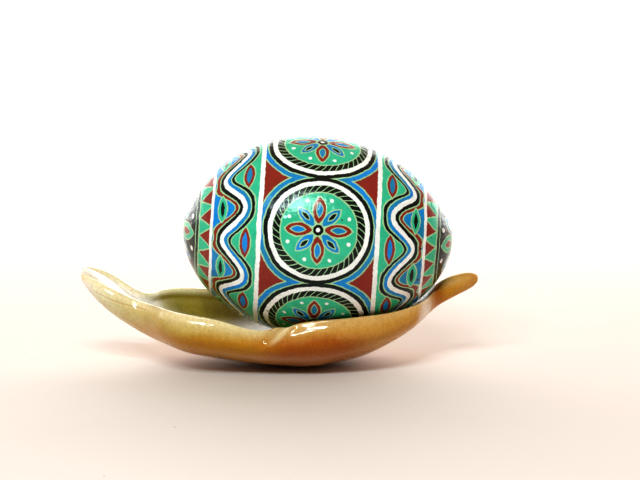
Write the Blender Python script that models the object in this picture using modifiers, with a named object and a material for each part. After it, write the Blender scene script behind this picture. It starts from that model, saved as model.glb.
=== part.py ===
"""A decorated hen's egg lying in a small leaf-shaped ceramic dish.

The frame is in metres, +Z up, with its origin on the table under the middle of the object's box.
+X runs along the leaf from its drip tip to its stalk, and the egg's blunt end faces the tip.
"""

import math

import bmesh
import bpy
from mathutils import Vector

MM = 0.001

# Egg
EGG_LENGTH = 58.0 * MM
EGG_DIAMETER = 43.5 * MM
EGG_BLUNTNESS = 0.038  # how much fuller the blunt half is than the pointed half
EGG_SLIMNESS = 0.033  # how much both ends draw in against an ellipse
EGG_MIDDLE_X = 8.2 * MM
EGG_MIDDLE_Z = 28.2 * MM
EGG_DIP = math.radians(3.2)  # the pointed end lies lower by this angle
EGG_RINGS = 28
EGG_SIDES = 40
MERGE = 0.01 * MM

# Leaf dish. Each station across the leaf gives, in mm, its place x, how far out and how high the
# middle of its edge is, how high its keel is, and how thick it is there and at the edge. The keel dips
# under the table where the foot is then cut flat. The last five stations are the stalk.
LEAF_STATIONS = (
    (-42.9, 0.5, 19.7, 18.6, 2.3, 1.8),
    (-41.8, 1.6, 19.3, 16.5, 4.2, 2.1),
    (-39.0, 3.3, 18.1, 13.3, 5.6, 2.3),
    (-35.4, 4.5, 16.3, 10.1, 5.9, 2.4),
    (-31.4, 4.4, 13.9, 7.3, 5.0, 2.5),
    (-28.3, 6.2, 13.1, 5.6, 4.3, 2.6),
    (-25.0, 12.2, 13.2, 4.3, 3.9, 2.8),
    (-20.0, 16.4, 12.5, 2.3, 4.1, 3.0),
    (-12.5, 17.4, 11.9, 1.0, 4.5, 3.0),
    (-4.0, 17.5, 11.3, -0.1, 5.8, 3.0),
    (5.0, 17.4, 11.3, -0.95, 6.85, 3.0),
    (13.0, 16.8, 11.6, 0.2, 5.85, 3.0),
    (20.0, 15.1, 12.0, 2.5, 5.15, 3.0),
    (25.5, 12.4, 12.6, 5.5, 4.8, 2.9),
    (29.5, 9.5, 13.2, 8.6, 4.35, 2.8),
    (32.2, 5.4, 14.2, 11.0, 4.35, 2.9),
    (34.0, 1.6, 15.1, 12.3, 4.8, 3.6),
    (36.0, 0.4, 16.0, 13.5, 4.9, 3.8),
    (38.6, 0.2, 17.15, 15.0, 4.3, 3.8),
    (41.3, 0.1, 18.0, 16.3, 3.5, 3.2),
    (42.9, 0.1, 18.4, 17.7, 1.4, 1.3),
)
LEAF_TURN = math.radians(104.0)  # how far each side turns up from the keel, a little past upright
KEEL_POWER = 0.86  # below 1 the keel is narrower than a round one
RINGS_PER_STATION = 2
WALL_STEPS = 8
EDGE_STEPS = 3
NEARBY = 0.01  # a step across the leaf for finding its slope
ROUND_FAN = math.radians(50.0)  # how far the points fan out where the leaf is round
ROUND_HALF_WIDTH = 1.2 * MM
TIP_TILT = 0.8 * MM  # the tip's channel tilts towards the viewer: its near edge is this much lower
TIP_TILT_X = -38.5 * MM
TIP_TILT_REACH = 6.0 * MM

# The edge is pinched in and down, more on the side towards the viewer
PINCH_X = -2.9 * MM
PINCH_REACH_LEFT = 7.2 * MM
PINCH_REACH_RIGHT = 5.5 * MM
PINCH_DROP = 2.4 * MM
PINCH_PUSH = 1.3 * MM
PINCH_POWER = 3  # how fast the pinch fades down the wall
FAR_PINCH = 0.4  # the far side's pinch, against the near one


def principled(name, colour, roughness, coat):
    """A plain material with the sub-part's colour and gloss."""
    material = bpy.data.materials.new(name)
    material.use_nodes = True
    shader = material.node_tree.nodes["Principled BSDF"]
    shader.inputs["Base Color"].default_value = (*colour, 1.0)
    shader.inputs["Roughness"].default_value = roughness
    shader.inputs["Metallic"].default_value = 0.0
    shader.inputs["Coat Weight"].default_value = coat
    return material


def add_object(name, mesh, collection, material=None):
    """Links a new object to a collection."""
    made = bpy.data.objects.new(name, mesh)
    collection.objects.link(made)
    if material is not None:
        mesh.materials.append(material)
    return made


def egg_radius(share):
    """The egg's radius where share is -1 at the blunt end, 0 half way and 1 at the pointed end."""
    shape = 1.0 - EGG_BLUNTNESS * share - EGG_SLIMNESS * share * share
    return 0.5 * EGG_DIAMETER * math.sqrt(max(0.0, 1.0 - share * share)) * shape


def make_egg(collection):
    """A turned egg: its profile runs down from the pointed end, and Screw turns it about its own Z."""
    mesh = bpy.data.meshes.new("egg")
    points = []
    for i in range(EGG_RINGS + 1):
        share = math.cos(math.pi * i / EGG_RINGS)
        points.append((egg_radius(share), 0.0, 0.5 * EGG_LENGTH * share))
    mesh.from_pydata(points, [(i, i + 1) for i in range(EGG_RINGS)], [])
    shell = principled("egg_varnish", (0.10, 0.42, 0.26), 0.25, coat=1.0)
    egg = add_object("egg", mesh, collection, shell)
    turn = egg.modifiers.new("turn", "SCREW")
    turn.axis = "Z"
    turn.steps = turn.render_steps = EGG_SIDES
    turn.use_merge_vertices = True
    turn.merge_threshold = MERGE
    turn.use_smooth_shade = True
    egg.location = (EGG_MIDDLE_X, 0.0, EGG_MIDDLE_Z)
    egg.rotation_euler = (0.0, 0.5 * math.pi + EGG_DIP, 0.0)
    return egg


def station(place):
    """The station's values in metres at a place counted in stations, on a curve through them all."""
    last = len(LEAF_STATIONS) - 1
    k = min(int(place), last - 1)
    t = place - k
    before, start = LEAF_STATIONS[max(k - 1, 0)], LEAF_STATIONS[k]
    end, after = LEAF_STATIONS[k + 1], LEAF_STATIONS[min(k + 2, last)]
    values = []
    for a, b, c, d in zip(before, start, end, after):
        bend = 2 * a - 5 * b + 4 * c - d
        twist = 3 * b - a - 3 * c + d
        values.append(MM * (b + 0.5 * t * (c - a + t * (bend + t * twist))))
    return values


def pinch(x, across):
    """How strongly the edge is pinched in at x, from 0 to 1, fading out down the wall."""
    reach = PINCH_REACH_LEFT if x < PINCH_X else PINCH_REACH_RIGHT
    near = math.exp(-(((x - PINCH_X) / reach) ** 2)) * abs(across) ** PINCH_POWER
    return near if across < 0 else FAR_PINCH * near


def leaf_section(place):
    """One closed ring around the leaf: a thick arc across it, with round edges.

    It runs under the leaf from the edge towards the viewer to the far edge, and back on top. Where the
    leaf narrows to its tip or its stalk, the ring's points fan out into a circle.
    """
    x, half_width, edge, keel, thick, edge_thick = station(place)
    low = keel + 0.5 * thick
    roundness = math.exp(-((half_width / ROUND_HALF_WIDTH) ** 2))
    fan = ROUND_FAN * roundness
    turn_up = LEAF_TURN * (1.0 - roundness)
    tilt = TIP_TILT * math.exp(-(((x - TIP_TILT_X) / TIP_TILT_REACH) ** 2))

    def middle(across):
        grip = pinch(x, across)
        aside = math.sin(across * turn_up) / math.sin(turn_up)
        rise = ((1.0 - math.cos(across * turn_up)) / (1.0 - math.cos(turn_up))) ** KEEL_POWER
        height = low + (edge - low - PINCH_DROP * grip) * rise + tilt * aside
        return Vector((x, (half_width - PINCH_PUSH * grip) * aside, height))

    def surface(across, face, angle):
        along = (middle(across + NEARBY) - middle(across - NEARBY)).normalized()
        down = Vector((0.0, along.z, -along.y))
        half_thick = 0.5 * (edge_thick + (thick - edge_thick) * (1.0 - across * across))
        return middle(across) + (down * face * math.cos(angle) + along * math.sin(angle)) * half_thick

    ring = []
    for face in (1, -1):
        for i in range(WALL_STEPS + 1):
            across = face * (2.0 * i / WALL_STEPS - 1.0)
            ring.append(surface(across, face, fan * across))
        for i in range(1, EDGE_STEPS + 1):
            turn = fan + (math.pi - 2.0 * fan) * i / (EDGE_STEPS + 1)
            ring.append(surface(face, face, face * turn))
    return ring


def make_leaf_dish(collection, cutters):
    """A loft through the leaf's sections, smoothed, with its foot cut flat."""
    mesh = bpy.data.meshes.new("leaf_dish")
    loft = bmesh.new()
    rings = []
    steps = (len(LEAF_STATIONS) - 1) * RINGS_PER_STATION
    for i in range(steps + 1):
        rings.append([loft.verts.new(point) for point in leaf_section(i / RINGS_PER_STATION)])
    for ring, following in zip(rings, rings[1:]):
        for j in range(len(ring)):
            loft.faces.new((ring[j - 1], ring[j], following[j], following[j - 1]))
    loft.faces.new(reversed(rings[0]))
    loft.faces.new(rings[-1])
    bmesh.ops.recalc_face_normals(loft, faces=loft.faces)
    loft.to_mesh(mesh)
    loft.free()
    mesh.shade_smooth()
    glaze = principled("ochre_glaze", (0.52, 0.34, 0.10), 0.18, coat=0.6)
    dish = add_object("leaf_dish", mesh, collection, glaze)
    rounding = dish.modifiers.new("rounding", "SUBSURF")
    rounding.levels = rounding.render_levels = 1
    foot = dish.modifiers.new("foot", "BOOLEAN")
    foot.operation = "DIFFERENCE"
    foot.object = make_foot_cutter(cutters)
    return dish


def make_foot_cutter(collection):
    """All that is under the table top, so that the dish stands on a small flat spot."""
    size = 120.0 * MM
    mesh = bpy.data.meshes.new("foot_cutter")
    block = bmesh.new()
    bmesh.ops.create_cube(block, size=size)
    block.to_mesh(mesh)
    block.free()
    cutter = add_object("foot_cutter", mesh, collection)
    cutter.location = (0.0, 0.0, -0.5 * size)
    cutter.hide_render = True
    cutter.display_type = "WIRE"
    return cutter


def main():
    for existing in list(bpy.data.objects):
        bpy.data.objects.remove(existing)
    scene = bpy.context.scene
    parts = bpy.data.collections.new("egg_on_leaf_dish")
    cutters = bpy.data.collections.new("cutters")
    scene.collection.children.link(parts)
    scene.collection.children.link(cutters)
    make_egg(parts)
    make_leaf_dish(parts, cutters)


main()
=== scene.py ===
"""The looks of a wax-resist dyed egg lying in a small glazed leaf dish, laid out as a Blender add-on.

Everything is in metres in the part's own frame: +X from the leaf's drip tip to its stalk, +Z up, and
the viewer on the -Y side. The ornament and the glaze are worked out in millimetres.
"""

import math

import bmesh
import bpy
from bpy.props import FloatProperty, FloatVectorProperty, IntProperty, PointerProperty
from mathutils import Matrix, Vector, noise


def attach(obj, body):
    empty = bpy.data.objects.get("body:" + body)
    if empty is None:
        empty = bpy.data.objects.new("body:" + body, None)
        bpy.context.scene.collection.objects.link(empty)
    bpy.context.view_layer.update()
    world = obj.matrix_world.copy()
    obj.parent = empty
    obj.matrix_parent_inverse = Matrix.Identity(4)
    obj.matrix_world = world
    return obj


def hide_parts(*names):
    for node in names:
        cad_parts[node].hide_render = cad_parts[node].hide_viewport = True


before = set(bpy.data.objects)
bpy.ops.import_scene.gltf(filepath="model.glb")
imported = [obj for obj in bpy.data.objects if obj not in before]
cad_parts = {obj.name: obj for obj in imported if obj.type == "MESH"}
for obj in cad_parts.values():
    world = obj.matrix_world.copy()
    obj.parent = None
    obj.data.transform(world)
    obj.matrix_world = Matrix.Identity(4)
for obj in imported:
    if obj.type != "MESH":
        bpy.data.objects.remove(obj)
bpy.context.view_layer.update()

bl_info = {
    "name": "Dyed Egg on a Leaf Dish",
    "version": (1, 0, 0),
    "blender": (4, 5, 0),
    "location": "View3D > Sidebar > Dyed Egg",
    "description": "Models a hen's egg with a wax-resist ornament in a glazed leaf-shaped dish",
    "category": "Object",
}

MM = 0.001

# Egg: its ends draw in against an ellipse, and its blunt half is fuller than its pointed half
EGG_BLUNTNESS = 0.038
EGG_SLIMNESS = 0.033

# Leaf dish. Each station across the leaf gives, in mm, its place x, how far out and how high the
# middle of its edge is, how high its keel is, and how thick it is there and at the edge. The last
# four stations are the stalk.
LEAF_STATIONS = (
    (-42.9, 0.5, 19.7, 18.6, 2.3, 1.8),
    (-41.8, 1.6, 19.3, 16.5, 4.2, 2.1),
    (-39.0, 3.3, 18.1, 13.3, 5.6, 2.3),
    (-35.4, 4.5, 16.3, 10.1, 5.9, 2.4),
    (-31.4, 4.4, 13.9, 7.3, 5.0, 2.5),
    (-28.3, 6.2, 13.1, 5.6, 4.3, 2.6),
    (-25.0, 12.2, 13.2, 4.3, 3.9, 2.8),
    (-20.0, 16.4, 12.5, 2.3, 4.1, 3.0),
    (-12.5, 17.4, 11.9, 1.0, 4.5, 3.0),
    (-4.0, 17.5, 11.3, -0.1, 5.8, 3.0),
    (5.0, 17.4, 11.3, -0.95, 6.85, 3.0),
    (13.0, 16.8, 11.6, 0.2, 5.85, 3.0),
    (20.0, 15.1, 12.0, 2.5, 5.15, 3.0),
    (25.5, 12.4, 12.6, 5.5, 4.8, 2.9),
    (29.5, 9.5, 13.2, 8.6, 4.35, 2.8),
    (32.2, 5.4, 14.2, 11.0, 4.35, 2.9),
    (34.0, 1.6, 15.1, 12.3, 4.8, 3.6),
    (36.0, 0.4, 16.0, 13.5, 4.9, 3.8),
    (38.6, 0.2, 17.15, 15.0, 4.3, 3.8),
    (41.3, 0.1, 18.0, 16.3, 3.5, 3.2),
    (42.9, 0.1, 18.4, 17.7, 1.4, 1.3),
)
LEAF_TURN = math.radians(104.0)  # how far each side turns up from the keel, a little past upright
KEEL_POWER = 0.86  # below 1 the keel is narrower than a round one
RINGS_PER_STATION = 2
WALL_STEPS = 8
EDGE_STEPS = 3
NEARBY = 0.01  # a step across the leaf for finding its slope
WALL_TOP = 0.8  # the rim mark is 0 at the keel, this at the top of the wall and 1 along the rim
ROUND_FAN = math.radians(50.0)  # how far the points fan out where the leaf is round
ROUND_HALF_WIDTH = 1.2 * MM
TIP_TILT = 0.8 * MM  # the tip's channel tilts towards the viewer: its near edge is this much lower
TIP_TILT_X = -38.5 * MM
TIP_TILT_REACH = 6.0 * MM
STALK_X = 35.2 * MM  # the leaf's body ends and its stalk starts here

# The edge is pinched in and down, more on the side towards the viewer
PINCH_X = -2.9 * MM
PINCH_REACH_LEFT = 7.2 * MM
PINCH_REACH_RIGHT = 5.5 * MM
PINCH_DROP = 2.4 * MM
PINCH_PUSH = 1.3 * MM
PINCH_POWER = 3
FAR_PINCH = 0.4
SHOULDER = 0.65 * MM  # how far the wall's outside draws in just under the rim
SHOULDER_RIM = (0.6, 0.85)  # the rim marks where that begins and is full
SHOULDER_START = -34.0 * MM
SHOULDER_END = 30.0 * MM
SHOULDER_FADE = 6.0 * MM

# Each fold of the pinch, in mm: its x at the rim, how far in, and its reach. FOLD_SLANT is how far the
# folds run along the wall for each mm down.
FOLD_SLANT = -1.0
PINCH_RIDGE = 2.1
PINCH_FOLDS = ((0.1, 1.7, 1.0), (PINCH_RIDGE, -1.2, 0.9))
FOLD_TOP = 11.0
FOLD_DEPTH = 3.4
FOLD_RISE = 3  # the folds fade away from the rim as this power of the rim mark

# Noise in the glaze: the size of its lumps in mm, and its detail
CLOUDS = (7.0, 3.0)
RUNS = (0.7, 3.0)
FINE_GRAIN = (0.5, 2.0)
RUN_STRETCH = (1.0, 1.0, 0.25)  # how the runs are drawn out down the wall
RIPPLE_STRETCH = (1.0, 1.0, 0.4)

# Where one tone of the glaze gives way to the next, in mm along the leaf or up its wall: where that
# begins and ends, and how far it strays from there
TO_TIP = (-25.0, -40.0, 8.0)
# Towards the tip the milk tone is paler glaze plus a painted reflection on the channel's face
TO_MILK_AND_REFLECTION_TIP = (-37.0, -43.0, 4.0)
TO_STALK = (-9.0, 4.0, 6.0)
TO_TAN = (12.0, 22.0, 6.0)
LOW_ON_WALL = (11.0, 7.5, 3.0)
# The rose tone low on the outside wall is a painted reflection of the floor
UNDERSIDE = (6.5, 2.0, 2.0)
# In the hollow the milk tone at both ends is a painted reflection
HOLLOW_TO_TIP = (-26.0, -29.5, 3.0)
HOLLOW_TO_STALK = (25.0, 29.0, 3.0)
STALK_ROOT = (31.8, 34.4, 0.0)
STALK_END = (36.5, 41.0, 0.0)
FOOT = (0.35, 0.15, 0.0)

# Masks in the glaze, by the rim mark or the inside mark: where each begins and is full
HOLLOW = (0.35, 0.65)
# The thin edge mask is glaze breaking thin over the rim, and painted light on its crest
THIN_EDGE_AND_CREST_LIGHT = (0.6, 0.88)
# High in the hollow the glaze is paler: thinner glaze, and painted light against the shade under the rim
HIGH_IN_HOLLOW = (0.4, 0.72)
# The crest masks pale the stalk's top: thinner glaze and painted light on its upward face
CREST_TOP = (0.55, 1.0)

# Masks in the glaze, in mm: where each begins and is full
# The crest masks here also mark the stalk's pale top: thinner glaze and painted light
CREST_START = (30.0, 33.0)
CREST_END = (41.0, 34.0)
DULL_STALK = (31.0, 35.0)
# The ridge masks place a painted highlight on the ridge between the pinch's folds
RIDGE_WIDTH = (1.0, 0.1)
RIDGE_FOOT = (6.5, 9.0)
RIDGE_SIDE = (-10.0, -14.0)
CRACK_SIDE = (-1.0, -2.0)
STALK_SPOT_REACH = (3.4, 0.8)
THIN_GLAZE_AND_REFLECTION_PATCH_REACH = (4.5, 1.0)

# Single marks in the glaze, in mm
STALK_SPOT = (33.3, -2.6, 14.3)  # the middle of the brown pool at the stalk's root
THIN_GLAZE_AND_REFLECTION_PATCH = (30.6, -7.0, 12.2)  # the middle of the pale patch where the wall narrows to the stalk: thin glaze with a painted reflection
CRACK_X = -34.0  # the middle of the hairline under the tip's near edge
CRACK_UP = 14.17
CRACK_SLOPE = -0.327
CRACK_BEND = 0.014
CRACK_REACH = 6.5
CRACK_FADE = 1.5
CRACK_WIDTH = 0.22

# Ornament, in mm from the egg's waist
EDGE_SOFTNESS = 0.05  # half the width over which one dye gives way to the next
THICK = 1.0  # a line drawn with a wide tool
THIN = 0.27  # a line drawn with a fine tool
HEART_LINE = 0.7 * THIN
HATCH_LINE = 0.8 * THIN
WAVE_END_LINE = 0.8 * THICK
TEETH_END_LINE = 1.5 * THIN
BORDER = 0.01  # half the width over which one band gives way to the next
BELT_END = 12.4
STARS = 6
FIRST_STAR = math.radians(10.0)
STAR_RING = 10.1
BLUE_ROW = 2.7  # how far the rows of colour round a star reach beyond its ring
BLACK_ROW = 1.5
STAR_BAND = 8.0
STAR_SIZE = 7.2
HATCHES = 40
HATCH_SLANT = 0.1  # radians round the star for each mm outwards
WAVES = 8
WAVE_MIDDLE = 18.3
WAVE_RISE = 2.6
WAVE_OUTER_ROW = 2.3  # how far the rows of colour reach to each side of the wave
WAVE_INNER_ROW = 1.4
LOW_BAY = -3.0  # the middles of the bays' leaves, from the wave's middle
HIGH_BAY = 2.9
LOW_LEAF = (-3.3, 3.3, 1.3)  # where a leaf starts and ends, and half its width
HIGH_LEAF = (-2.8, 2.8, 1.2)
LEAF_BORDER = 0.7
WAVE_END = 24.0
TEETH = 20
TOOTH_SIDE = 0.8  # how far it is square to a tooth's side, for each mm along the band
TEETH_END = 27.9
END_RING = 1.2
END_STAR_SIZE = 10.0

# Rosettes, as shares of their size. Each petal and its heart: start, end and half width.
PETALS = 8
LONG_PETAL = (0.14, 1.0, 0.2)
LONG_HEART = (0.36, 0.82, 0.09)
SHORT_PETAL = (0.14, 0.88, 0.165)
SHORT_HEART = (0.38, 0.72, 0.065)
DOT_RING = 0.93
DOT = 0.055
EYE = 0.17
PUPIL = 0.06

# Stage. Each sunlit pane of the front window: azimuth from the viewer's side and elevation in degrees,
# and width in metres.
GLEAMS = (
    (-27.0, 36.0, 0.07),
    (-17.0, 37.5, 0.05),
    (-8.0, 37.0, 0.05),
    (-13.0, 46.0, 0.07),
    (1.0, 44.0, 0.08),
)
GLEAM_HEIGHT = 0.03
GLEAM_DISTANCE = 0.55
BACK_WINDOW_SIZE = (1.2, 0.4)
BACK_WINDOW_MIDDLE = 0.215
BACK_WINDOW_DISTANCE = 0.42
FAR_WINDOW_SIZE = (5.0, 4.0)
FAR_WINDOW_AWAY = 2.36
FAR_WINDOW_HEIGHT = 0.25
LEFT_SIDE = (0.1, -0.9)  # where each side of the room begins and is full, as a share of the way there
BACK_SIDE = (0.1, 0.7)
CEILING_SIDE = (0.35, 0.9)
FLOOR_RADIUS = 6.0


class Wire:
    """A socket of a material's nodes. Arithmetic on it adds the Math nodes that work it out."""

    def __init__(self, tree, plug=None):
        self.tree = tree
        self.plug = plug

    def node(self, kind, settings=None, values=None, output=0):
        """A new node of this kind: its settings are made first, then its sockets' values or links."""
        made = self.tree.nodes.new(kind)
        for name, setting in (settings or {}).items():
            setattr(made, name, setting)
        for name, value in (values or {}).items():
            if isinstance(value, Wire):
                self.tree.links.new(value.plug, made.inputs[name])
            else:
                made.inputs[name].default_value = value
        return Wire(self.tree, made.outputs[output])

    def maths(self, operation, *values):
        """A Math node on these values."""
        return self.node("ShaderNodeMath", {"operation": operation}, dict(enumerate(values)))

    def __add__(self, other):
        return self.maths("ADD", self, other)

    def __sub__(self, other):
        return self.maths("SUBTRACT", self, other)

    def __rsub__(self, other):
        return self.maths("SUBTRACT", other, self)

    def __mul__(self, other):
        return self.maths("MULTIPLY", self, other)

    def __truediv__(self, other):
        return self.maths("DIVIDE", self, other)

    def __abs__(self):
        return self.maths("ABSOLUTE", self)

    def least(self, other):
        """The lower of the two."""
        return self.maths("MINIMUM", self, other)

    def most(self, other):
        """The higher of the two."""
        return self.maths("MAXIMUM", self, other)

    def sine(self):
        return self.maths("SINE", self)

    def cosine(self):
        return self.maths("COSINE", self)

    def folded(self, half):
        """The value brought within half of zero by whole steps of twice half."""
        return self.maths("WRAP", self, half, -half)

    def far(self, other):
        """How far the point with these two coordinates is from zero."""
        return self.maths("SQRT", self * self + other * other)

    def angle(self, level):
        """The angle of the point that is this high and lies level away."""
        return self.maths("ARCTAN2", self, level)

    def between(self, low, high):
        """A smooth rise from 0 where the value is low to 1 where it is high, either way round."""
        values = {"Value": self, "From Min": low, "From Max": high}
        return self.node("ShaderNodeMapRange", {"interpolation_type": "SMOOTHSTEP"}, values)

    def choose(self, below, above):
        """Goes from one number to another as this mask goes from 0 to 1."""
        return self.node("ShaderNodeMix", {"data_type": "FLOAT"}, {0: self, 2: below, 3: above})

    def tint(self, below, above):
        """Goes from one colour to another as this mask goes from 0 to 1."""
        return self.node("ShaderNodeMix", {"data_type": "RGBA"}, {0: self, 6: below, 7: above}, 2)

    def scaled(self, amount):
        """This colour or vector, so many times as strong."""
        return self.node("ShaderNodeVectorMath", {"operation": "SCALE"}, {0: self, "Scale": amount})

    def parts(self):
        """The three numbers of a vector."""
        return [self.node("ShaderNodeSeparateXYZ", values={0: self}, output=i) for i in range(3)]


def new_material(name):
    """A material with only a Principled shader, and a wire to start its nodes from."""
    material = bpy.data.materials.new(name)
    material.use_nodes = True
    tree = material.node_tree
    return material, tree.nodes["Principled BSDF"], Wire(tree)


def opaque(colour, share=1.0):
    """A colour with full alpha, this many times as bright."""
    return (*(share * value for value in colour), 1.0)


def tones_of(settings, names):
    """The settings' colours of these names, by name."""
    return {name: opaque(getattr(settings, name)) for name in names.split()}


def feed(shader, name, wire):
    """Links a wire to one of the shader's sockets."""
    wire.tree.links.new(wire.plug, shader.inputs[name])


def place_in_mm(start, centre=(0.0, 0.0, 0.0), dip=0.0):
    """The point's place in mm about a centre, on axes turned down by dip about Y."""
    place = start.node("ShaderNodeTexCoord", output="Object")
    values = {0: place, "Location": centre, "Rotation": (0.0, dip, 0.0), "Scale": (MM, MM, MM)}
    return start.node("ShaderNodeMapping", {"vector_type": "TEXTURE"}, values)


def stretched(place, scale):
    """A place in mm, scaled along each axis."""
    return place.node("ShaderNodeVectorMath", {"operation": "MULTIPLY"}, {0: place, 1: scale})


def grain(place, size, detail, output=0):
    """Soft noise about 0.5 with lumps of about this size in mm."""
    values = {"Vector": place, "Scale": 1.0 / size, "Detail": detail}
    return place.node("ShaderNodeTexNoise", values=values, output=output)


def specks(place, size, share, radius):
    """A mask of small dots: one in each cell of this size in mm, in this share of the cells."""
    values = {"Vector": place, "Scale": 1.0 / size}
    distance = place.node("ShaderNodeTexVoronoi", values=values)
    chance = place.node("ShaderNodeTexVoronoi", values=values, output=1).parts()[0]
    reach = chance.between(1.0 - share, 1.0) * radius
    return dyed(distance * size - reach)


def bumped(height, depth):
    """The normal of a surface whose height of 1 stands this many mm proud."""
    values = {"Height": height, "Distance": depth * MM, "Strength": 1.0}
    return height.node("ShaderNodeBump", values=values)


def dyed(gap):
    """A mask that is 1 inside a shape, where the signed gap to it in mm is below 0."""
    return gap.between(EDGE_SOFTNESS, -EDGE_SOFTNESS)


def line(gap, width):
    """A mask that is 1 on a line of this width in mm along the curve where the gap is 0."""
    return dyed(abs(gap) - 0.5 * width)


def petal(along, across, start, end, half_width):
    """The signed gap to a petal with two round sides. across is never below 0."""
    half_length = 0.5 * (end - start)
    back = (half_length ** 2 - half_width ** 2) / (2.0 * half_width)
    return (along - 0.5 * (start + end)).far(across + back) - (back + half_width)


def lay(ground, layers):
    """Lays dyes on a ground in turn, each where its mask is 1."""
    for colour, mask in layers:
        ground = mask.tint(ground, colour)
    return ground


def rosette(angle, radius, size, first, second, dyes):
    """Layers for petals of two kinds in turn about a round eye.

    first and second name each kind's dye and the dye of its heart, and size is how far the first reach.
    """
    half_step = math.pi / PETALS
    folded = angle.folded(half_step)
    along = radius * folded.cosine()
    across = abs(radius * folded.sine())

    def gap(shares):
        """The signed gap to a petal given as shares of the rosette's size."""
        return petal(along, across, *(share * size for share in shares))

    is_first = (angle * (PETALS / 2)).cosine().between(-BORDER, BORDER)
    outside = is_first.choose(gap(SHORT_PETAL), gap(LONG_PETAL))
    heart = is_first.choose(gap(SHORT_HEART), gap(LONG_HEART))
    beside = (angle + half_step).folded(half_step)
    dot = (radius * beside.cosine() - DOT_RING * size).far(radius * beside.sine()) - DOT * size
    eye = radius - EYE * size
    return (
        (is_first.tint(dyes[second[0]], dyes[first[0]]), dyed(outside)),
        (is_first.tint(dyes[second[1]], dyes[first[1]]), dyed(heart)),
        (dyes["fine"], line(outside, THIN)),
        (dyes["fine"], line(heart, HEART_LINE)),
        (dyes["white"], dyed(dot)),
        (dyes["black"], dyed(eye)),
        (dyes["fine"], line(eye, THIN)),
        (dyes["white"], dyed(radius - PUPIL * size)),
    )


class Place:
    """Where a point on the shell is, in mm from its waist and in radians round its axis.

    The turn is 0 towards the viewer and grows upwards. wander moves the drawn lines a little, as a
    hand does.
    """

    def __init__(self, point, wander, egg):
        half_length = 0.5 * egg.length / MM
        half_width = 0.5 * egg.diameter / MM
        mean = 0.5 * (half_length + half_width)
        along, away, up = point.parts()
        wander_along, wander_round, _ = wander.parts()
        # The way along the side of an ellipse, near enough for one that is nearly round
        slope = point.maths("ARCSINE", (along * (1.0 / half_length)).least(1.0).most(-1.0))
        bow = (slope * 2.0).sine() * (0.25 * (half_length - half_width))
        self.from_waist = slope * mean + bow + wander_along
        self.aside = abs(self.from_waist)
        self.from_pole = 0.5 * math.pi * mean - self.aside
        self.radius = up.far(away).most(1.0)
        self.turn = up.angle(away * -1.0) + wander_round / self.radius


def star_belt(place, dyes):
    """Round stars about the waist, with rows of colour bent round them."""
    across = (place.turn - FIRST_STAR).folded(math.pi / STARS) * place.radius
    radius = place.from_waist.far(across)
    angle = across.angle(place.from_waist)
    hatch = (angle + radius * HATCH_SLANT).folded(math.pi / HATCHES) * radius
    rows = (
        (dyes["blue"], dyed(radius - STAR_RING - BLUE_ROW)),
        (dyes["fine"], line(radius - STAR_RING - BLUE_ROW, THIN)),
        (dyes["black"], dyed(radius - STAR_RING - BLACK_ROW)),
        (dyes["fine"], line(radius - STAR_RING - BLACK_ROW, THIN)),
        (dyes["black"], dyed(radius - STAR_RING)),
        (dyes["fine"], line(hatch, HATCH_LINE) * dyed(radius - STAR_RING)),
        (dyes["jade"], dyed(radius - STAR_BAND)),
        (dyes["fine"], line(radius - STAR_BAND, THIN)),
        (dyes["white"], line(radius - STAR_RING, THICK)),
    )
    star = rosette(angle, radius, STAR_SIZE, ("red", "blue"), ("blue", "black"), dyes)
    return lay(dyes["red"], rows + star)


def wave_band(place, dyes):
    """A running wave with rows of colour along it and a leaf in each of its bays."""
    beat = place.turn * WAVES
    lean = beat.sine() * (WAVES * WAVE_RISE) / place.radius
    rise = place.aside - WAVE_MIDDLE - beat.cosine() * WAVE_RISE
    gap = rise / lean.far(1.0)
    under_crest = beat.folded(math.pi) * place.radius / WAVES
    over_trough = (beat + math.pi).folded(math.pi) * place.radius / WAVES
    low_leaf = petal(under_crest, abs(place.aside - WAVE_MIDDLE - LOW_BAY), *LOW_LEAF)
    high_leaf = petal(over_trough, abs(place.aside - WAVE_MIDDLE - HIGH_BAY), *HIGH_LEAF)
    outer = gap.between(-BORDER, BORDER)
    layers = (
        (dyes["blue"], outer),
        (outer.tint(dyes["black"], dyes["red"]), dyed(abs(gap) - WAVE_OUTER_ROW)),
        (dyes["fine"], line(abs(gap) - WAVE_OUTER_ROW, THIN)),
        (outer.tint(dyes["blue"], dyes["black"]), dyed(abs(gap) - WAVE_INNER_ROW)),
        (dyes["fine"], line(abs(gap) - WAVE_INNER_ROW, THIN)),
        (dyes["white"], line(gap, THICK)),
        (dyes["red"], dyed(low_leaf)),
        (dyes["fine"], line(low_leaf, THIN)),
        (dyes["blue"], dyed(low_leaf + LEAF_BORDER)),
        (dyes["jade"], dyed(high_leaf)),
        (dyes["fine"], line(high_leaf, THIN)),
        (dyes["black"], dyed(high_leaf + LEAF_BORDER)),
    )
    return lay(dyes["jade"], layers)


def tooth_band(place, dyes):
    """A row of teeth between two lines."""
    height = (place.aside - WAVE_END) * (1.0 / (TEETH_END - WAVE_END))
    beside = abs(place.turn.folded(math.pi / TEETH))
    tooth = (beside * TEETH / math.pi + height - 1.0) * place.radius * (TOOTH_SIDE * math.pi / TEETH)
    layers = ((dyes["red"], dyed(tooth)), (dyes["fine"], line(tooth, THIN)))
    return lay(dyes["jade"], layers)


def end_cap(place, dyes):
    """A large rosette round the end of the egg."""
    ring = (dyes["fine"], line(place.aside - TEETH_END - END_RING, THIN))
    star = rosette(place.turn, place.from_pole, END_STAR_SIZE, ("jade", "red"), ("blue", "white"), dyes)
    return lay(dyes["black"], (ring,) + star)


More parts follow.
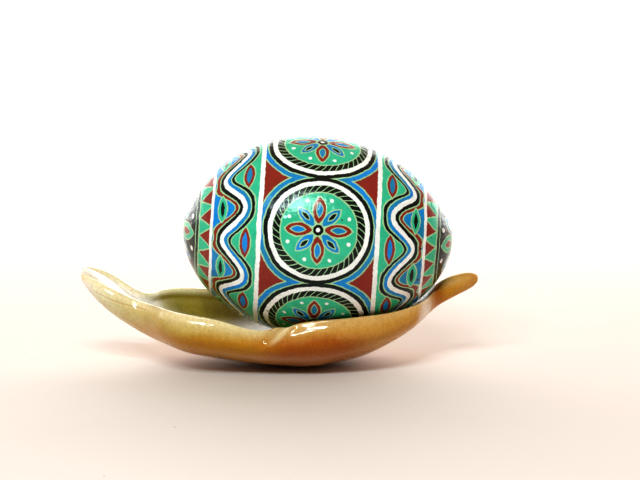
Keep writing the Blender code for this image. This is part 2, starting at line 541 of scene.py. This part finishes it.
def unsteady_hand(point, wander):
    """How far the drawn lines stray at a point: a slow wander of up to half this many mm and a shake."""
    strays = []
    for size, detail, reach in ((6.0, 1.0, wander), (0.9, 2.0, 0.6 * wander)):
        noise_colour = grain(point, size, detail, "Color")
        values = {0: noise_colour, 1: (0.5, 0.5, 0.5)}
        strays.append(point.node("ShaderNodeVectorMath", {"operation": "SUBTRACT"}, values).scaled(reach))
    return point.node("ShaderNodeVectorMath", {"operation": "ADD"}, dict(enumerate(strays)))


def ornament_colour(place, dyes):
    """The bands of the ornament from the waist to the ends, with the lines between them."""
    ornament = star_belt(place, dyes)
    for begin, band in ((BELT_END, wave_band), (WAVE_END, tooth_band), (TEETH_END, end_cap)):
        beyond = place.aside.between(begin - BORDER, begin + BORDER)
        ornament = beyond.tint(ornament, band(place, dyes))
    borders = (
        (dyes["white"], line(place.aside - BELT_END, THICK)),
        (dyes["white"], line(place.aside - WAVE_END, WAVE_END_LINE)),
        (dyes["fine"], line(place.aside - TEETH_END, TEETH_END_LINE)),
    )
    return lay(ornament, borders)


def egg_material(egg, dye):
    """Dyed and varnished eggshell, with its ornament drawn in wax lines."""
    material, shader, start = new_material("varnished_dyed_shell")
    point = place_in_mm(start, (egg.middle_x, 0.0, egg.middle_z), egg.dip)
    dyes = tones_of(dye, "jade red black fine white")
    uneven = grain(point, size=9.0, detail=1.0).between(0.35, 0.65)
    dyes["blue"] = uneven.tint(opaque(dye.blue), opaque(dye.teal))
    ornament = ornament_colour(Place(point, unsteady_hand(point, dye.wander / MM), egg), dyes)
    mottle = grain(point, size=2.2, detail=3.0) + grain(point, size=0.35, detail=2.0) * 0.8
    strength = mottle * 0.35 + 0.69  # about 1 on the whole
    dust = specks(point, size=2.4, share=0.25, radius=0.3)
    feed(shader, "Base Color", dust.tint(ornament.scaled(strength), dyes["black"]))
    feed(shader, "Roughness", grain(point, size=1.6, detail=2.0) * 0.08 + dye.roughness)
    pores = grain(point, size=0.55, detail=1.5) + grain(point, size=1.6, detail=1.0) * 1.2
    feed(shader, "Normal", bumped(pores, depth=0.085))
    shader.inputs["Specular IOR Level"].default_value = 0.35
    shader.inputs["Coat Weight"].default_value = 0.1
    shader.inputs["Coat Roughness"].default_value = 0.12
    return material


class DishPlace:
    """Where a point on the dish is, in mm, with the noise that its glaze follows."""

    def __init__(self, start):
        self.point = place_in_mm(start)
        self.along, self.away, self.up = self.point.parts()
        self.rim = start.node("ShaderNodeAttribute", {"attribute_name": "rim"}, output="Fac")
        self.inside = start.node("ShaderNodeAttribute", {"attribute_name": "inside"}, output="Fac")
        self.cloud = grain(self.point, *CLOUDS)
        self.runs = grain(stretched(self.point, RUN_STRETCH), *RUNS)
        self.fine = grain(self.point, *FINE_GRAIN)
        self.wobble = self.cloud * 1.3 + self.runs * 0.3 - 0.8  # about 0 on the whole
        self.to_stalk = self.zone(self.along, TO_STALK)

    def zone(self, value, limits):
        """A mask that rises over a stretch, given as its beginning, its end and how far it strays."""
        begin, end, stray = limits
        return (value + self.wobble * stray).between(begin, end)

    def patch(self, centre, reach):
        """A mask that rises from the first distance to the second from a centre, with a wavy edge."""
        values = {0: self.point, 1: centre}
        distance = self.point.node("ShaderNodeVectorMath", {"operation": "DISTANCE"}, values, 1)
        return (distance + self.wobble * 1.5).between(*reach)


def wall_glaze(place, tones):
    """The outside: straw over honey towards the tip, amber over brown towards the stalk."""
    low = place.zone(place.up, LOW_ON_WALL)
    deep = place.zone(place.along, TO_TAN).tint(tones["brown"], tones["tan"])
    wall = place.to_stalk.tint(low.tint(tones["straw"], tones["honey"]), low.tint(tones["amber"], deep))
    # Low on the outside wall the rose tone paints a reflection of the floor
    wall = (place.zone(place.up, UNDERSIDE) * 0.6).tint(wall, tones["rose"])
    wall = (place.zone(place.along, TO_TIP) * 0.85).tint(wall, tones["butter"])
    # At the tip the milk tone is paler glaze plus a painted reflection on the channel's face
    return place.zone(place.along, TO_MILK_AND_REFLECTION_TIP).tint(wall, tones["milk"])


def hollow_glaze(place, tones):
    """The inside: olive with umber clouds. It is paler up the wall, where the glaze is thinner and painted
    light lifts the shade under the rim. It is pale at both ends with a painted reflection.
    """
    hollow = (place.cloud + place.runs * 0.6).between(0.6, 1.0).tint(tones["olive"], tones["umber"])
    # Paler high on the inner wall: thinner glaze, and painted light against the shade under the rim
    hollow = (place.rim.between(*HIGH_IN_HOLLOW) * 0.5).tint(hollow, tones["straw"])
    # The milk tone at both ends of the hollow is a painted reflection
    hollow = place.zone(place.along, HOLLOW_TO_TIP).tint(hollow, tones["milk"])
    return place.zone(place.along, HOLLOW_TO_STALK).tint(hollow, tones["milk"])


def painted_ridge_highlight(place):
    """A mask of the ridge between the pinch's folds, where a pale tone paints its highlight."""
    level = place.along + (place.up - FOLD_TOP) * FOLD_SLANT - PINCH_RIDGE
    from_ridge = abs(level * (1.0 / math.hypot(1.0, FOLD_SLANT)))
    wall = place.up.between(*RIDGE_FOOT) * place.away.between(*RIDGE_SIDE)
    return from_ridge.between(*RIDGE_WIDTH) * wall


def hairline(place):
    """A mask of the hairline under the tip's near edge."""
    from_crack = place.along - CRACK_X
    course = from_crack * (from_crack * CRACK_BEND + CRACK_SLOPE)
    crack = line(place.up + place.wobble * 0.4 - course - CRACK_UP, CRACK_WIDTH)
    reach = abs(from_crack).between(CRACK_REACH, CRACK_REACH - CRACK_FADE)
    return crack * reach * place.away.between(*CRACK_SIDE) * (1.0 - place.inside)


def stalk_crest_thin_glaze_and_light(place):
    """A mask of the stalk's crest: thinner glaze there, and painted light on its upward face."""
    length = place.along.between(*CREST_START) * place.along.between(*CREST_END)
    return place.inside.between(*CREST_TOP) * length


def glaze_material(glaze):
    """Honey-coloured glass over pale clay, from cream at the drip tip to brown low on the wall."""
    material, shader, start = new_material("honey_glaze")
    place = DishPlace(start)
    names = "milk cream butter sand straw honey amber brown tan rose olive umber clay"
    tones = tones_of(glaze, names)
    body = place.inside.between(*HOLLOW).tint(wall_glaze(place, tones), hollow_glaze(place, tones))
    # Paler rim: glaze breaking thin over it, and painted light on its upward crest
    thin_edge_and_crest_light = (place.rim + place.wobble * 0.08 - place.inside * 0.2).between(*THIN_EDGE_AND_CREST_LIGHT)
    stalk_tone = place.zone(place.along, STALK_END).tint(tones["honey"], tones["tan"])
    foot = place.zone(place.up, FOOT)
    # Each layer's tone, and its mask times how strongly it is laid on; some layers are painted light, as
    # marked
    layers = (
        (place.to_stalk.tint(tones["cream"], tones["sand"]), thin_edge_and_crest_light * 0.85),
        # Painted highlight on the ridge between the pinch's folds
        (tones["cream"], painted_ridge_highlight(place) * 0.5),
        # The pale patch near the stalk is thin glaze with a painted reflection
        (tones["milk"], place.patch(THIN_GLAZE_AND_REFLECTION_PATCH, THIN_GLAZE_AND_REFLECTION_PATCH_REACH) * 0.85),
        (stalk_tone, place.zone(place.along, STALK_ROOT)),
        # The stalk's crest: thinner glaze and painted light on its upward face
        (tones["cream"], stalk_crest_thin_glaze_and_light(place) * 0.3),
        (tones["brown"], place.patch(STALK_SPOT, STALK_SPOT_REACH) * 0.8),
        (tones["brown"], hairline(place) * 0.4),
    )
    strength = place.fine * 0.45 + place.runs * 0.22 + 0.665  # about 1 on the whole
    pinholes = specks(place.point, size=1.9, share=0.2, radius=0.2)
    body = pinholes.tint(lay(body, layers).scaled(strength), tones["brown"])
    feed(shader, "Base Color", foot.tint(body, tones["clay"]))
    duller = place.fine * 0.03 + place.inside * 0.15 + place.along.between(*DULL_STALK) * 0.35
    feed(shader, "Roughness", foot.choose(duller + glaze.roughness, glaze.clay_roughness))
    drawn_out = stretched(place.point, RIPPLE_STRETCH)
    ripple = grain(place.point, size=3.5, detail=1.0) + grain(drawn_out, size=1.2, detail=1.0) * 0.15
    feed(shader, "Normal", bumped(ripple, depth=0.09))
    shader.inputs["Specular IOR Level"].default_value = 0.4
    return material


def new_object(name, mesh, material):
    """Links a new object, in place, with its material."""
    made = bpy.data.objects.new(name, mesh)
    bpy.context.scene.collection.objects.link(made)
    mesh.materials.clear()
    mesh.materials.append(material)
    return made


def egg_radius(share, egg):
    """The egg's radius where share is -1 at the blunt end, 0 half way and 1 at the pointed end."""
    shape = 1.0 - EGG_BLUNTNESS * share - EGG_SLIMNESS * share * share
    return 0.5 * egg.diameter * math.sqrt(max(0.0, 1.0 - share * share)) * shape


def egg_mesh(egg):
    """The shell, turned about its long axis and laid down with its pointed end a little lower."""
    lie = Matrix.Translation((egg.middle_x, 0.0, egg.middle_z)) @ Matrix.Rotation(egg.dip, 4, "Y")
    shell = bmesh.new()
    rings = []
    for i in range(1, egg.rings):
        share = math.cos(math.pi * i / egg.rings)
        radius = egg_radius(share, egg)
        ring = []
        for j in range(egg.sides):
            turn = 2.0 * math.pi * j / egg.sides
            point = (0.5 * egg.length * share, radius * math.cos(turn), radius * math.sin(turn))
            ring.append(shell.verts.new(lie @ Vector(point)))
        rings.append(ring)
    ends = [shell.verts.new(lie @ Vector((side * 0.5 * egg.length, 0.0, 0.0))) for side in (1, -1)]
    for j in range(egg.sides):
        shell.faces.new((ends[0], rings[0][j - 1], rings[0][j]))
        shell.faces.new((ends[1], rings[-1][j], rings[-1][j - 1]))
        for ring, following in zip(rings, rings[1:]):
            shell.faces.new((ring[j], ring[j - 1], following[j - 1], following[j]))
    bmesh.ops.recalc_face_normals(shell, faces=shell.faces)
    mesh = bpy.data.meshes.new("dyed_egg")
    shell.to_mesh(mesh)
    shell.free()
    mesh.shade_smooth()
    return mesh


def station(place):
    """The station's values in metres at a place counted in stations, on a curve through them all."""
    last = len(LEAF_STATIONS) - 1
    k = min(int(place), last - 1)
    t = place - k
    before, start = LEAF_STATIONS[max(k - 1, 0)], LEAF_STATIONS[k]
    end, after = LEAF_STATIONS[k + 1], LEAF_STATIONS[min(k + 2, last)]
    values = []
    for a, b, c, d in zip(before, start, end, after):
        bend = 2 * a - 5 * b + 4 * c - d
        twist = 3 * b - a - 3 * c + d
        values.append(MM * (b + 0.5 * t * (c - a + t * (bend + t * twist))))
    return values


def pinch(x, across):
    """How strongly the edge is pinched in at x, from 0 to 1, fading out down the wall."""
    reach = PINCH_REACH_LEFT if x < PINCH_X else PINCH_REACH_RIGHT
    grip = math.exp(-(((x - PINCH_X) / reach) ** 2)) * abs(across) ** PINCH_POWER
    return grip if across < 0 else FAR_PINCH * grip


def leaf_section(place):
    """One closed ring around the leaf: each point, how near the rim it is and whether it is inside.

    It runs under the leaf from the edge towards the viewer to the far edge, and back on top. Where the
    leaf narrows to its tip or its stalk, the ring's points fan out into a circle.
    """
    x, half_width, edge, keel, thick, edge_thick = station(place)
    low = keel + 0.5 * thick
    roundness = math.exp(-((half_width / ROUND_HALF_WIDTH) ** 2))
    fan = ROUND_FAN * roundness
    turn_up = LEAF_TURN * (1.0 - roundness)
    tilt = TIP_TILT * math.exp(-(((x - TIP_TILT_X) / TIP_TILT_REACH) ** 2))

    def middle(across):
        grip = pinch(x, across)
        aside = math.sin(across * turn_up) / math.sin(turn_up)
        rise = ((1.0 - math.cos(across * turn_up)) / (1.0 - math.cos(turn_up))) ** KEEL_POWER
        height = low + (edge - low - PINCH_DROP * grip) * rise + tilt * aside
        return Vector((x, (half_width - PINCH_PUSH * grip) * aside, height))

    def surface(across, face, angle):
        along = (middle(across + NEARBY) - middle(across - NEARBY)).normalized()
        down = Vector((0.0, along.z, -along.y))
        half_thick = 0.5 * (edge_thick + (thick - edge_thick) * (1.0 - across * across))
        return middle(across) + (down * face * math.cos(angle) + along * math.sin(angle)) * half_thick

    ring = []
    for face in (1, -1):
        for i in range(WALL_STEPS + 1):
            across = face * (2.0 * i / WALL_STEPS - 1.0)
            ring.append((surface(across, face, fan * across), WALL_TOP * abs(across), 0.5 - 0.5 * face))
        for i in range(1, EDGE_STEPS + 1):
            share = i / (EDGE_STEPS + 1)
            turn = fan + (math.pi - 2.0 * fan) * share
            rim = WALL_TOP + (1.0 - WALL_TOP) * math.sin(math.pi * share)
            ring.append((surface(face, face, face * turn), rim, 0.5 + face * (share - 0.5)))
    return ring


def dish_cage():
    """A coarse loft through the leaf's sections, marked with how near the rim and how far inside."""
    loft = bmesh.new()
    rim_mark = loft.verts.layers.float.new("rim")
    inside_mark = loft.verts.layers.float.new("inside")
    rings = []
    steps = (len(LEAF_STATIONS) - 1) * RINGS_PER_STATION
    for i in range(steps + 1):
        ring = []
        for point, rim, inside in leaf_section(i / RINGS_PER_STATION):
            vertex = loft.verts.new(point)
            vertex[rim_mark] = rim
            vertex[inside_mark] = inside
            ring.append(vertex)
        rings.append(ring)
    for ring, following in zip(rings, rings[1:]):
        for j in range(len(ring)):
            loft.faces.new((ring[j - 1], ring[j], following[j], following[j - 1]))
    loft.faces.new(reversed(rings[0]))
    loft.faces.new(rings[-1])
    bmesh.ops.recalc_face_normals(loft, faces=loft.faces)
    mesh = bpy.data.meshes.new("dish_cage")
    loft.to_mesh(mesh)
    loft.free()
    return mesh


def smoothed(mesh, levels):
    """The mesh after this many rounds of subdivision, as a mesh of its own."""
    cage = bpy.data.objects.new("cage", mesh)
    bpy.context.scene.collection.objects.link(cage)
    rounding = cage.modifiers.new("rounding", "SUBSURF")
    rounding.levels = rounding.render_levels = levels
    graph = bpy.context.evaluated_depsgraph_get()
    fine = bpy.data.meshes.new_from_object(cage.evaluated_get(graph))
    bpy.data.objects.remove(cage)
    bpy.data.meshes.remove(mesh)
    return fine


def smooth_step(low, high, value):
    """A smooth rise from 0 where the value is low to 1 where it is high."""
    share = min(1.0, max(0.0, (value - low) / (high - low)))
    return share * share * (3.0 - 2.0 * share)


def fold(point):
    """How far the pinch's folds push the near wall in at a point, in metres."""
    drop = max(0.0, FOLD_TOP - point.z / MM)
    total = 0.0
    for middle, push, reach in PINCH_FOLDS:
        total += push * math.exp(-(((point.x / MM - middle - FOLD_SLANT * drop) / reach) ** 2))
    return total * MM * math.exp(-((drop / FOLD_DEPTH) ** 2))


def cast_dish(dish):
    """The whole dish as one fine mesh, with its folds, its small unevenness and its flat foot."""
    mesh = smoothed(dish_cage(), dish.levels)
    clay = bmesh.new()
    clay.from_mesh(mesh)
    bpy.data.meshes.remove(mesh)
    rim_mark = clay.verts.layers.float["rim"]
    inside_mark = clay.verts.layers.float["inside"]
    clay.normal_update()
    for vertex in clay.verts:
        near_rim = min(1.0, vertex[rim_mark] / WALL_TOP)
        lump = noise.noise(vertex.co / dish.lump_size)
        shoulder = smooth_step(*SHOULDER_RIM, vertex[rim_mark]) * (1.0 - vertex[inside_mark]) ** 2
        shoulder *= smooth_step(SHOULDER_START, SHOULDER_START + SHOULDER_FADE, vertex.co.x)
        shoulder *= smooth_step(SHOULDER_END, SHOULDER_END - SHOULDER_FADE, vertex.co.x)
        vertex.co += vertex.normal * (dish.lump_height * lump - SHOULDER * shoulder)
        if vertex.co.y < 0.0:
            vertex.co.y += fold(vertex.co) * near_rim ** FOLD_RISE
    whole = clay.verts[:] + clay.edges[:] + clay.faces[:]
    down = (0.0, 0.0, -1.0)
    cut = bmesh.ops.bisect_plane(clay, geom=whole, plane_co=(0, 0, 0), plane_no=down, clear_outer=True)
    foot_edges = [item for item in cut["geom_cut"] if isinstance(item, bmesh.types.BMEdge)]
    bmesh.ops.contextual_create(clay, geom=foot_edges)
    bmesh.ops.recalc_face_normals(clay, faces=clay.faces)
    clay.normal_update()
    return clay


def cut_at_stalk(clay, name, keep_stalk):
    """One side of the cast dish, closed where the other joins it and shaded as one surface with it."""
    normals = {}
    for vertex in clay.verts:
        normals[tuple(vertex.co)] = vertex.normal.copy()
    away = [f for f in clay.faces if (f.calc_center_median().x > STALK_X) != keep_stalk]
    bmesh.ops.delete(clay, geom=away, context="FACES")
    open_edges = [edge for edge in clay.edges if edge.is_boundary]
    bmesh.ops.contextual_create(clay, geom=open_edges)
    bmesh.ops.recalc_face_normals(clay, faces=clay.faces)
    if clay.calc_volume(signed=True) < 0.0:
        bmesh.ops.reverse_faces(clay, faces=clay.faces)
    mesh = bpy.data.meshes.new(name)
    clay.to_mesh(mesh)
    clay.free()
    mesh.shade_smooth()
    mesh.normals_split_custom_set_from_vertices([normals[tuple(vertex.co)] for vertex in mesh.vertices])
    return mesh


def colour_setting(name, description, default):
    """A setting that holds a colour."""
    return FloatVectorProperty(name=name, description=description, default=default, subtype="COLOR")


class EggSettings(bpy.types.PropertyGroup):
    """The egg's size and lie."""

    length: FloatProperty(name="Length", description="From end to end", default=58.0 * MM, unit="LENGTH")
    diameter: FloatProperty(
        name="Diameter", description="Across its widest place", default=43.5 * MM, unit="LENGTH"
    )
    middle_x: FloatProperty(
        name="Middle along", description="Where its middle is along X", default=8.2 * MM, unit="LENGTH"
    )
    middle_z: FloatProperty(
        name="Middle height", description="How high its middle is", default=28.2 * MM, unit="LENGTH"
    )
    dip: FloatProperty(
        name="Dip", description="How far the pointed end dips", default=math.radians(3.2), unit="ROTATION"
    )
    rings: IntProperty(name="Rings", description="Steps from end to end", default=180, min=8)
    sides: IntProperty(name="Sides", description="Steps round it", default=240, min=8)


class DyeSettings(bpy.types.PropertyGroup):
    """The colours and the hand of the ornament."""

    jade: colour_setting("Jade", "The green ground", (0.05, 0.5, 0.3))
    blue: colour_setting("Blue", "The blue dye", (0.008, 0.26, 0.68))
    teal: colour_setting("Teal", "The blue dye where it took less", (0.015, 0.24, 0.45))
    red: colour_setting("Red", "The brick red dye", (0.28, 0.035, 0.022))
    black: colour_setting("Black", "The last, darkest dye", (0.006, 0.013, 0.01))
    fine: colour_setting("Fine lines", "Lines waxed on the pale green dye", (0.4, 0.62, 0.36))
    white: colour_setting("White", "Lines waxed on the bare shell", (0.9, 0.9, 0.87))
    wander: FloatProperty(
        name="Wander", description="How far the drawn lines stray", default=0.6 * MM, unit="LENGTH"
    )
    roughness: FloatProperty(name="Roughness", description="Of the varnish", default=0.08, min=0.0, max=1.0)


class DishSettings(bpy.types.PropertyGroup):
    """The dish's fineness and its handmade unevenness."""

    levels: IntProperty(name="Subdivision", description="Rounds of subdivision", default=3, min=1, max=4)
    lump_size: FloatProperty(
        name="Lump size", description="How long the uneven places are", default=7.0 * MM, unit="LENGTH"
    )
    lump_height: FloatProperty(
        name="Lump height", description="How high the uneven places are", default=0.15 * MM, unit="LENGTH"
    )


class GlazeSettings(bpy.types.PropertyGroup):
    """The glaze's colours and gloss."""

    # Milk is paler glaze at the tip, and a painted reflection there and at both ends of the hollow
    milk: colour_setting("Milk", "Thick pale glaze in the tip's channel", (0.92, 0.82, 0.72))
    # Cream is thin glaze on the rim, and painted light on the rim crest, the pinch's ridge and the stalk's
    # top
    cream: colour_setting("Cream", "Thin glaze on the edge towards the tip", (0.88, 0.73, 0.45))
    butter: colour_setting("Butter", "The wall of the tip", (0.78, 0.73, 0.5))
    # Sand, like cream, is thin glaze on the rim and painted light on its crest
    sand: colour_setting("Sand", "Thin glaze on the edge towards the stalk", (0.66, 0.42, 0.18))
    straw: colour_setting("Straw", "High on the wall towards the tip", (0.52, 0.35, 0.08))
    honey: colour_setting("Honey", "Low on the wall towards the tip", (0.53, 0.25, 0.018))
    amber: colour_setting("Amber", "High on the wall towards the stalk", (0.55, 0.275, 0.045))
    brown: colour_setting("Brown", "Low on the wall towards the stalk", (0.42, 0.12, 0.005))
    tan: colour_setting("Tan", "Low on the wall near the stalk", (0.55, 0.28, 0.06))
    # Rose is a painted reflection of the floor on the low outside wall
    rose: colour_setting("Rose", "The underside", (0.6, 0.33, 0.16))
    olive: colour_setting("Olive", "The glaze in the hollow", (0.34, 0.265, 0.032))
    umber: colour_setting("Umber", "Dark clouds in the hollow", (0.22, 0.17, 0.022))
    clay: colour_setting("Clay", "Bare clay under the foot", (0.55, 0.42, 0.30))
    roughness: FloatProperty(name="Roughness", description="Of the glaze", default=0.1, min=0.0, max=1.0)
    clay_roughness: FloatProperty(
        name="Clay roughness", description="Of the bare foot", default=0.75, min=0.0, max=1.0
    )


class StageSettings(bpy.types.PropertyGroup):
    """The floor, the lights and the camera."""

    floor: colour_setting("Floor", "The floor's colour", (0.68, 0.61, 0.57))
    back_wall: colour_setting("Back wall", "Light from behind the object", (0.6, 0.6, 0.6))
    ceiling: colour_setting("Ceiling", "Warm light from above", (0.42, 0.28, 0.18))
    left_wall: colour_setting("Left wall", "Light from the left side", (0.3, 0.28, 0.27))
    room: colour_setting("Room", "Light from the viewer's side and the right", (0.22, 0.135, 0.08))
    back_window: FloatProperty(name="Back window", description="Its power in watts", default=2.4)
    far_window: FloatProperty(name="Far window", description="Its power in watts", default=110.0)
    daylight: colour_setting("Daylight", "The colour of the front windows", (0.75, 0.94, 1.0))
    gleam: FloatProperty(name="Gleam", description="How bright the sunlit panes are", default=60.0)
    target: FloatVectorProperty(
        name="Target",
        description="What the camera looks at",
        default=(8.7 * MM, 0.0, 26.8 * MM),
        unit="LENGTH",
    )
    distance: FloatProperty(
        name="Distance", description="From the camera to its target", default=0.42, unit="LENGTH"
    )
    pitch: FloatProperty(
        name="Pitch", description="How far it looks down", default=math.radians(8.4), unit="ROTATION"
    )
    lens: FloatProperty(name="Lens", description="Focal length in mm for a 36 mm sensor", default=109.6)


class DYED_EGG_OT_egg(bpy.types.Operator):
    """Add the dyed and varnished egg"""

    bl_idname = "dyed_egg.egg"
    bl_label = "Egg"

    def execute(self, context):
        scene = context.scene
        egg = new_object("dyed_egg", egg_mesh(scene.egg), egg_material(scene.egg, scene.dye))
        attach(egg, "root")
        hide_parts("egg")
        return {"FINISHED"}


class DYED_EGG_OT_leaf(bpy.types.Operator):
    """Add the hollow of the leaf dish, from its drip tip to its stalk"""

    bl_idname = "dyed_egg.leaf"
    bl_label = "Leaf"

    def execute(self, context):
        scene = context.scene
        mesh = cut_at_stalk(cast_dish(scene.dish), "dish_leaf", keep_stalk=False)
        leaf = new_object("dish_leaf", mesh, glaze_material(scene.glaze))
        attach(leaf, "root")
        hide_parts("leaf_dish")
        return {"FINISHED"}


class DYED_EGG_OT_stalk(bpy.types.Operator):
    """Add the leaf dish's stalk"""

    bl_idname = "dyed_egg.stalk"
    bl_label = "Stalk"

    def execute(self, context):
        scene = context.scene
        mesh = cut_at_stalk(cast_dish(scene.dish), "dish_stalk", keep_stalk=True)
        stalk = new_object("dish_stalk", mesh, glaze_material(scene.glaze))
        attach(stalk, "root")
        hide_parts("leaf_dish")
        return {"FINISHED"}


def floor_material(stage):
    """Plain pale card with a faint tooth."""
    material, shader, start = new_material("pale_card")
    place = place_in_mm(start)
    card = grain(place, size=40.0, detail=3.0).tint(opaque(stage.floor), opaque(stage.floor, 0.97))
    flecks = specks(place, size=9.0, share=0.3, radius=0.3)
    feed(shader, "Base Color", flecks.tint(card, opaque(stage.floor, 0.6)))
    feed(shader, "Normal", bumped(grain(place, size=0.6, detail=2.0), depth=0.02))
    shader.inputs["Roughness"].default_value = 0.8
    shader.inputs["Specular IOR Level"].default_value = 0.2
    return material


def add_floor(stage):
    """A wide round floor under the object."""
    mesh = bpy.data.meshes.new("floor")
    card = bmesh.new()
    bmesh.ops.create_circle(card, cap_ends=True, segments=96, radius=FLOOR_RADIUS)
    card.to_mesh(mesh)
    card.free()
    floor = new_object("floor", mesh, floor_material(stage))


def add_sky(stage):
    """The light of a dim room: warm from above, pale from the left and brighter behind the object."""
    world = bpy.data.worlds.new("dim_room")
    world.use_nodes = True
    start = Wire(world.node_tree)
    right, behind, above = start.node("ShaderNodeTexCoord").parts()
    sides = tones_of(stage, "room left_wall ceiling back_wall")
    light = right.between(*LEFT_SIDE).tint(sides["room"], sides["left_wall"])
    light = behind.between(*BACK_SIDE).tint(light, sides["back_wall"])
    light = above.between(*CEILING_SIDE).tint(light, sides["ceiling"])
    background = world.node_tree.nodes["Background"]
    world.node_tree.links.new(light.plug, background.inputs["Color"])
    bpy.context.scene.world = world


def add_light(name, target, azimuth, elevation, distance, size, power):
    """A soft oblong light that faces a target, with its azimuth from the viewer's side in degrees."""
    turn, rise = math.radians(azimuth), math.radians(elevation)
    way = Vector((math.sin(turn) * math.cos(rise), -math.cos(turn) * math.cos(rise), math.sin(rise)))
    lamp = bpy.data.lights.new(name, "AREA")
    lamp.shape = "RECTANGLE"
    lamp.size, lamp.size_y = size
    lamp.energy = power
    light = bpy.data.objects.new(name, lamp)
    bpy.context.scene.collection.objects.link(light)
    light.location = Vector(target) + way * distance
    light.rotation_euler = way.to_track_quat("Z", "Y").to_euler()
    return lamp


def add_windows(stage):
    """Two windows behind the object, and the sunlit panes of one in front that gleam in its gloss."""
    faced = (0.0, 0.0, BACK_WINDOW_MIDDLE)
    add_light("back_window", faced, 180.0, 0.0, BACK_WINDOW_DISTANCE, BACK_WINDOW_SIZE, stage.back_window)
    faced = (0.0, FAR_WINDOW_AWAY, 0.0)
    add_light("far_window", faced, 0.0, 90.0, FAR_WINDOW_HEIGHT, FAR_WINDOW_SIZE, stage.far_window)
    for azimuth, elevation, width in GLEAMS:
        power = stage.gleam * math.pi * width * GLEAM_HEIGHT
        size = (width, GLEAM_HEIGHT)
        pane = add_light("gleam", stage.target, azimuth, elevation, GLEAM_DISTANCE, size, power)
        pane.color = stage.daylight


def add_camera(stage):
    """A camera that looks along +Y and a little down."""
    lens = bpy.data.cameras.new("camera")
    lens.lens = stage.lens
    lens.clip_start, lens.clip_end = 0.01, 50.0
    camera = bpy.data.objects.new("camera", lens)
    bpy.context.scene.collection.objects.link(camera)
    back = Vector((0.0, -math.cos(stage.pitch), math.sin(stage.pitch)))
    camera.location = Vector(stage.target) + back * stage.distance
    camera.rotation_euler = (0.5 * math.pi - stage.pitch, 0.0, 0.0)
    bpy.context.scene.camera = camera


class DYED_EGG_OT_stage(bpy.types.Operator):
    """Add the floor, the lights and the camera"""

    bl_idname = "dyed_egg.stage"
    bl_label = "Stage"

    def execute(self, context):
        scene = context.scene
        stage = scene.stage
        add_floor(stage)
        add_sky(stage)
        add_windows(stage)
        scene.view_settings.view_transform = "Standard"
        scene.view_settings.look = "High Contrast"
        add_camera(stage)
        return {"FINISHED"}


class DYED_EGG_PT_panel(bpy.types.Panel):
    """The add-on's tools and settings"""

    bl_idname = "DYED_EGG_PT_panel"
    bl_label = "Dyed Egg"
    bl_space_type = "VIEW_3D"
    bl_region_type = "UI"
    bl_category = "Dyed Egg"

    def draw(self, context):
        for name, operators in PARTS.items():
            box = self.layout.box()
            settings = getattr(context.scene, name)
            for prop in settings.__annotations__:
                box.prop(settings, prop)
            for operator in operators:
                box.operator(operator.bl_idname)


PARTS = {
    "egg": (DYED_EGG_OT_egg,),
    "dye": (),
    "dish": (DYED_EGG_OT_leaf, DYED_EGG_OT_stalk),
    "glaze": (),
    "stage": (DYED_EGG_OT_stage,),
}
SETTINGS = {
    "egg": EggSettings,
    "dye": DyeSettings,
    "dish": DishSettings,
    "glaze": GlazeSettings,
    "stage": StageSettings,
}
CLASSES = (
    *SETTINGS.values(),
    DYED_EGG_OT_egg,
    DYED_EGG_OT_leaf,
    DYED_EGG_OT_stalk,
    DYED_EGG_OT_stage,
    DYED_EGG_PT_panel,
)


def register():
    for kind in CLASSES:
        bpy.utils.register_class(kind)
    for name, group in SETTINGS.items():
        setattr(bpy.types.Scene, name, PointerProperty(type=group))


def unregister():
    for name in SETTINGS:
        delattr(bpy.types.Scene, name)
    for kind in reversed(CLASSES):
        bpy.utils.unregister_class(kind)


def main():
    register()
    bpy.ops.dyed_egg.egg()
    bpy.ops.dyed_egg.leaf()
    bpy.ops.dyed_egg.stalk()
    bpy.ops.dyed_egg.stage()


if __name__ == "__main__":
    main()
